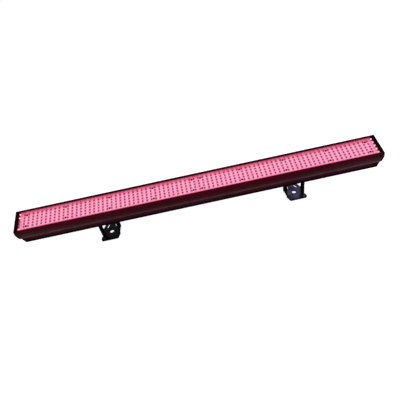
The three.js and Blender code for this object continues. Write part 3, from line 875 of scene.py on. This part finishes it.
def led_field(name, nodes, columns, rows, material, sides):
    """The separate LEDs that stand for a row, or rows, of the CAD model."""
    boxes = [head_box(node) for node in nodes]
    low = Vector(min(b[0][i] for b in boxes) for i in range(3))
    high = Vector(max(b[1][i] for b in boxes) for i in range(3))
    led = min(boxes[0][1].x - boxes[0][0].x, boxes[0][1].y - boxes[0][0].y)
    lens = template(f"{name}_lens", lens_mesh(led / 2, high.z - BOARD_Z, sides))
    piece = new_piece(name, bpy.data.meshes.new(name), material)
    modifier = piece.modifiers.new("field", "NODES")
    modifier.node_group = field_tree()
    middle = ((low.x + high.x) / 2, (low.y + high.y) / 2, BOARD_Z)
    set_inputs(
        modifier,
        Lens=lens,
        Columns=columns,
        Rows=rows,
        Length=high.x - low.x - led,
        Width=high.y - low.y - led,
        Middle=middle,
        Material=material,
    )
    bake_modifiers(piece)
    piece.data.transform(HEAD)
    bpy.data.objects.remove(lens)
    return piece


def fasteners(name, places, radius, height, material, seed):
    """Screws at places in the head's frame, each a point and the direction that its head faces."""
    mesh = bpy.data.meshes.new(name)
    mesh.from_pydata([point for point, _ in places], [], [])
    facing = mesh.attributes.new("facing", "FLOAT_VECTOR", "POINT")
    facing.data.foreach_set("vector", [part for _, way in places for part in way])
    screw = template(f"{name}_screw", screw_mesh(radius, height))
    piece = new_piece(name, mesh, material)
    modifier = piece.modifiers.new("fasteners", "NODES")
    modifier.node_group = fastener_tree()
    set_inputs(modifier, Fastener=screw, Seed=seed, Material=material)
    bake_modifiers(piece)
    piece.data.transform(HEAD)
    bpy.data.objects.remove(screw)
    return piece


def column_pitch():
    low, high = head_box("led_row_left_1")
    return (high.x - low.x - (high.y - low.y)) / (bpy.context.scene.batten_lights.columns - 1)


def row_spacing():
    return head_box("led_row_left_2")[0].y - head_box("led_row_left_1")[0].y


# Operators: one for each piece or group of like pieces


class BATTEN_OT_housing(bpy.types.Operator):
    """Finish the extruded housing and its two end plates"""

    bl_idname = "batten.housing"
    bl_label = "Housing"

    def execute(self, context):
        edge = context.scene.batten_shells.shell_edge
        refined("housing", "batten", "black_aluminium", black_aluminium(), edge)
        for label in SIDES:
            refined(f"end_plate_{label}", "batten", "black_aluminium", black_aluminium(), edge)
        return {"FINISHED"}


class BATTEN_OT_tray(bpy.types.Operator):
    """Finish the steel tray under the housing"""

    bl_idname = "batten.tray"
    bl_label = "Tray"

    def execute(self, context):
        for node in TRAY_NODES:
            refined(node, "batten", "black_steel", black_steel(), context.scene.batten_shells.shell_edge)
        return {"FINISHED"}


class BATTEN_OT_led_boards(bpy.types.Operator):
    """Give the LED boards their white mask with the LEDs' light painted on as a glow"""

    bl_idname = "batten.led_boards"
    bl_label = "LED Boards"

    def execute(self, context):
        for label in SIDES:
            dress(f"led_board_{label}", board_white())
            dress(f"end_board_{label}", board_white())
        return {"FINISHED"}


class BATTEN_OT_leds(bpy.types.Operator):
    """Set out the LEDs of both boards and both end columns"""

    bl_idname = "batten.leds"
    bl_label = "LEDs"

    def execute(self, context):
        lights = context.scene.batten_lights
        for label in SIDES:
            rows = sorted(n for n in NODES if n.startswith(f"led_row_{label}_"))
            field = led_field(
                f"leds_{label}", rows, lights.columns, len(rows), led_lens(), lights.lens_sides
            )
            settle(field, "batten", "led_lens", *rows)
            end = f"end_leds_{label}"
            column = led_field(f"{end}_lenses", [end], 1, lights.end_leds, end_led_lens(), 16)
            settle(column, "batten", "end_led_lens", end)
        return {"FINISHED"}


class BATTEN_OT_board_screws(bpy.types.Operator):
    """Screw the LED boards down, in pairs at each end and every ten columns"""

    bl_idname = "batten.board_screws"
    bl_label = "Board Screws"

    def execute(self, context):
        lights = context.scene.batten_lights
        steps = [1, 10, 20, 30, lights.columns - 1]
        places = []
        for side in SIDES.values():
            for step in steps:
                for y in (-lights.screw_spread, lights.screw_spread):
                    places.append(((side * step * column_pitch(), y, BOARD_Z), (0, 0, 1)))
        piece = fasteners("board_screws", places, lights.screw_head, lights.screw_height, black_screws(), 3)
        settle(piece, "batten", "black_steel")
        return {"FINISHED"}


class BATTEN_OT_end_screws(bpy.types.Operator):
    """Screw the end plates to the extrusion"""

    bl_idname = "batten.end_screws"
    bl_label = "End Plate Screws"

    def execute(self, context):
        places = []
        for label, side in SIDES.items():
            low, high = head_box(f"end_plate_{label}")
            outside = low.x if side < 0 else high.x
            for y, depth in ((-29, 5.5), (29, 5.5), (-31, 31), (31, 31)):
                places.append(((outside - side * 0.2 * MM, y * MM, FACE_Z - depth * MM), (side, 0, 0)))
        piece = fasteners("end_plate_screws", places, 2.9 * MM, 1.6 * MM, black_screws(), 5)
        settle(piece, "batten", "black_steel")
        return {"FINISHED"}


class BATTEN_OT_brackets(bpy.types.Operator):
    """Finish the yokes, the lugs and the fasteners that join them"""

    bl_idname = "batten.brackets"
    bl_label = "Brackets"

    def execute(self, context):
        shells = context.scene.batten_shells
        for label in SIDES:
            refined(f"yoke_{label}", f"yoke_{label}", "bracket_steel", bracket_steel(), shells.bracket_edge)
            refined(f"lug_{label}", "batten", "bracket_steel", bracket_steel(), shells.bracket_edge)
            refined(f"pivot_bolt_{label}", "batten", "zinc_steel", zinc_steel(), shells.fastener_edge)
            for where in ("outer", "inner"):
                nut = f"lock_nut_{label}_{where}"
                refined(nut, "batten", "zinc_steel", zinc_steel(), shells.fastener_edge)
                dress(f"friction_washer_{label}_{where}", washer_fibre())
        return {"FINISHED"}


class BATTEN_OT_knobs(bpy.types.Operator):
    """Finish the two hand knobs"""

    bl_idname = "batten.knobs"
    bl_label = "Clamp Knobs"

    def execute(self, context):
        edge = context.scene.batten_shells.knob_edge
        for label in SIDES:
            knob = f"clamp_knob_{label}"
            refined(knob, knob, "knob_rubber", knob_rubber(), edge, 4)
        return {"FINISHED"}


class BATTEN_OT_lug_screws(bpy.types.Operator):
    """Bolt each lug to the tray"""

    bl_idname = "batten.lug_screws"
    bl_label = "Lug Screws"

    def execute(self, context):
        places = []
        for label in SIDES:
            low, high = head_box(f"lug_{label}")
            middle = (low.x + high.x) / 2
            under = high.z - 3 * MM
            for x, y in ((-10, -13), (10, -13), (-10, 13), (10, 13)):
                places.append(((middle + x * MM, y * MM, under), (0, 0, -1)))
        piece = fasteners("lug_screws", places, 3.2 * MM, 1.9 * MM, zinc_steel(), 7)
        settle(piece, "batten", "zinc_steel")
        return {"FINISHED"}


class BATTEN_OT_sockets(bpy.types.Operator):
    """Finish the mains inlet and the data sockets, with the screws in their flanges"""

    bl_idname = "batten.sockets"
    bl_label = "Sockets"

    def execute(self, context):
        edge = context.scene.batten_shells.moulded_edge
        places = []
        for node in ("data_in_socket", "data_out_socket", "mains_inlet"):
            refined(node, "batten", "socket_plastic", socket_plastic(), edge)
            low, high = head_box(node)
            middle = (low + high) / 2
            inset = 2.9 * MM
            if node == "mains_inlet":
                spots = ((low.x + inset, 0), (high.x - inset, 0))
            else:
                spots = ((low.x + inset, low.y + inset), (high.x - inset, high.y - inset))
            places += [((x, y, low.z), (0, 0, -1)) for x, y in spots]
            if abs(middle.y) > 1 * MM:
                raise RuntimeError(f"{node} isn't on the middle line of the tray")
        piece = fasteners("socket_screws", places, 2.2 * MM, 1.3 * MM, black_screws(), 9)
        settle(piece, "batten", "black_steel")
        return {"FINISHED"}


class BATTEN_OT_panel(bpy.types.Operator):
    """Finish the menu buttons, the display and its window"""

    bl_idname = "batten.panel"
    bl_label = "Menu Panel"

    def execute(self, context):
        edge = context.scene.batten_shells.moulded_edge
        for name in BUTTONS:
            button = f"button_{name}"
            refined(button, button, "button_rubber", button_rubber(), edge, 3)
        dress("display_window", display_window())
        self.segments()
        return {"FINISHED"}

    def segments(self):
        """The lit strokes of four digits on the face of the display, which read 0001."""
        low, high = head_box("display_window")
        face = head_box("control_board")[0].z
        digit_width, digit_height, stroke, thick = 3.4 * MM, 6.4 * MM, 0.55 * MM, 0.15 * MM
        halves = (digit_width / 2, digit_height / 2)
        upright = [(side * halves[0], half * halves[1] / 2) for side in (-1, 1) for half in (-1, 1)]
        level = [(0, halves[1]), (0, -halves[1])]
        bm = bmesh.new()
        pitch = (high.x - low.x) / 4
        for digit in range(4):
            # The tray faces down, so the digits run towards +X as the reader looks up at them.
            centre = low.x + (digit + 0.5) * pitch
            one = digit == 3
            strokes = [(x, y, False) for x, y in (upright[2:] if one else upright)]
            strokes += [] if one else [(x, y, True) for x, y in level]
            for x, y, is_level in strokes:
                reach = (halves[0] - stroke * 0.7) if is_level else (halves[1] / 2 - stroke * 0.4)
                self.stroke(bm, centre + x, y, reach, stroke / 2, face, thick, is_level)
        bmesh.ops.recalc_face_normals(bm, faces=bm.faces)
        mesh = bpy.data.meshes.new("display_segments")
        bm.to_mesh(mesh)
        bm.free()
        mesh.transform(HEAD)
        piece = new_piece("display_segments", mesh, lit_segments())
        settle(piece, "batten", "display_window")

    @staticmethod
    def stroke(bm, x, y, reach, half, z, thick, is_level):
        """A thin six-sided bar with pointed ends."""
        outline = [(-reach, 0), (-reach + half, -half), (reach - half, -half)]
        outline += [(reach, 0), (reach - half, half), (-reach + half, half)]
        if not is_level:
            outline = [(b, a) for a, b in outline]
        rings = [[bm.verts.new((x + a, y + b, level)) for a, b in outline] for level in (z - thick, z)]
        for i in range(6):
            j = (i + 1) % 6
            bm.faces.new((rings[0][i], rings[0][j], rings[1][j], rings[1][i]))
        for ring in rings:
            bm.faces.new(ring)


class BATTEN_OT_inside(bpy.types.Operator):
    """Finish what the tray holds: power supply, boards and leads"""

    bl_idname = "batten.inside"
    bl_label = "Electronics"

    def execute(self, context):
        edge = context.scene.batten_shells.shell_edge
        refined("power_supply", "batten", "supply_case", supply_case(), edge)
        for board in ("driver_board", "control_board"):
            dress(board, circuit_board())
        for lead in ("mains_lead", "supply_lead", "data_lead"):
            dress(lead, cable_sheath())
        return {"FINISHED"}


class BATTEN_OT_studio(bpy.types.Operator):
    """Set up the camera, the floor and the soft lamps"""

    bl_idname = "batten.studio"
    bl_label = "Studio"

    def execute(self, context):
        self.camera(context)
        self.floor()
        self.world(context)
        studio = context.scene.batten_studio
        self.lamp("key_lamp", (-0.5, -1.3, 1.9), 1.6, studio.key, (1.0, 0.98, 0.97))
        self.lamp("rim_lamp", (0.85, 1.25, 1.05), 0.7, studio.rim, (0.56, 0.48, 1.0))
        context.scene.view_settings.view_transform = "Standard"
        return {"FINISHED"}

    def camera(self, context):
        studio = context.scene.batten_studio
        aim = HEAD @ Vector((-1 * MM, -43 * MM, FACE_Z - 26 * MM))
        turn = Matrix.Rotation(studio.azimuth, 4, "Z")
        turn = turn @ Matrix.Rotation(math.pi / 2 - studio.elevation, 4, "X")
        data = bpy.data.cameras.new("camera")
        data.sensor_width = 36
        data.lens = studio.focal
        data.clip_start = 0.01
        camera = bpy.data.objects.new("camera", data)
        context.scene.collection.objects.link(camera)
        offset = turn @ Vector((0, 0, studio.distance))
        camera.matrix_world = (
            Matrix.Translation(aim + offset) @ turn @ Matrix.Rotation(studio.roll, 4, "Z")
        )
        context.scene.camera = camera

    def floor(self):
        """A sheet that reaches past the horizon of every view."""
        reach = 60
        mesh = bpy.data.meshes.new("floor")
        corners = [(-reach, -reach, 0), (reach, -reach, 0), (reach, reach, 0), (-reach, reach, 0)]
        mesh.from_pydata(corners, [], [(0, 1, 2, 3)])
        new_piece("floor", mesh, floor_white())

    def world(self, context):
        """A dim even room that looks white to the camera."""
        world = bpy.data.worlds.new("studio")
        world.use_nodes = True
        tree = world.node_tree
        tree.nodes.clear()
        room = add_node(tree, "ShaderNodeBackground", {"Color": (1, 1, 1, 1), "Strength": 0.3})
        seen = add_node(tree, "ShaderNodeBackground", {"Color": (1, 1, 1, 1), "Strength": 1.0})
        path = add_node(tree, "ShaderNodeLightPath")
        inputs = {0: path.outputs["Is Camera Ray"], 1: room.outputs[0], 2: seen.outputs[0]}
        mix = add_node(tree, "ShaderNodeMixShader", inputs)
        add_node(tree, "ShaderNodeOutputWorld", {0: mix.outputs[0]})
        context.scene.world = world

    def lamp(self, name, place, width, power, colour):
        """A square soft lamp that faces the middle of the batten."""
        data = bpy.data.lights.new(name, "AREA")
        data.size = width
        data.energy = power
        data.color = colour
        lamp = bpy.data.objects.new(name, data)
        bpy.context.scene.collection.objects.link(lamp)
        away = Vector(place) - PIVOT
        lamp.location = place
        lamp.rotation_euler = away.to_track_quat("Z", "Y").to_euler()


OPERATORS = (
    BATTEN_OT_studio,
    BATTEN_OT_housing,
    BATTEN_OT_tray,
    BATTEN_OT_led_boards,
    BATTEN_OT_leds,
    BATTEN_OT_board_screws,
    BATTEN_OT_end_screws,
    BATTEN_OT_brackets,
    BATTEN_OT_lug_screws,
    BATTEN_OT_knobs,
    BATTEN_OT_sockets,
    BATTEN_OT_panel,
    BATTEN_OT_inside,
)


class BATTEN_PT_sidebar(bpy.types.Panel):
    """Lists the batten's settings and the operators that build it."""

    bl_idname = "BATTEN_PT_sidebar"
    bl_label = "LED Strip Batten"
    bl_space_type = "VIEW_3D"
    bl_region_type = "UI"
    bl_category = "Batten"

    def draw(self, context):
        for key, group in PROPERTY_GROUPS.items():
            box = self.layout.box()
            for name in group.__annotations__:
                box.prop(getattr(context.scene, key), name)
        for operator in OPERATORS:
            self.layout.operator(operator.bl_idname)


CLASSES = (*PROPERTY_GROUPS.values(), *OPERATORS, BATTEN_PT_sidebar)


def register():
    for cls in CLASSES:
        bpy.utils.register_class(cls)
    for key, group in PROPERTY_GROUPS.items():
        setattr(bpy.types.Scene, key, PointerProperty(type=group))


def unregister():
    for key in PROPERTY_GROUPS:
        delattr(bpy.types.Scene, key)
    for cls in reversed(CLASSES):
        bpy.utils.unregister_class(cls)


def main():
    register()
    for operator in OPERATORS:
        group, name = operator.bl_idname.split(".")
        getattr(getattr(bpy.ops, group), name)()


if __name__ == "__main__":
    main()
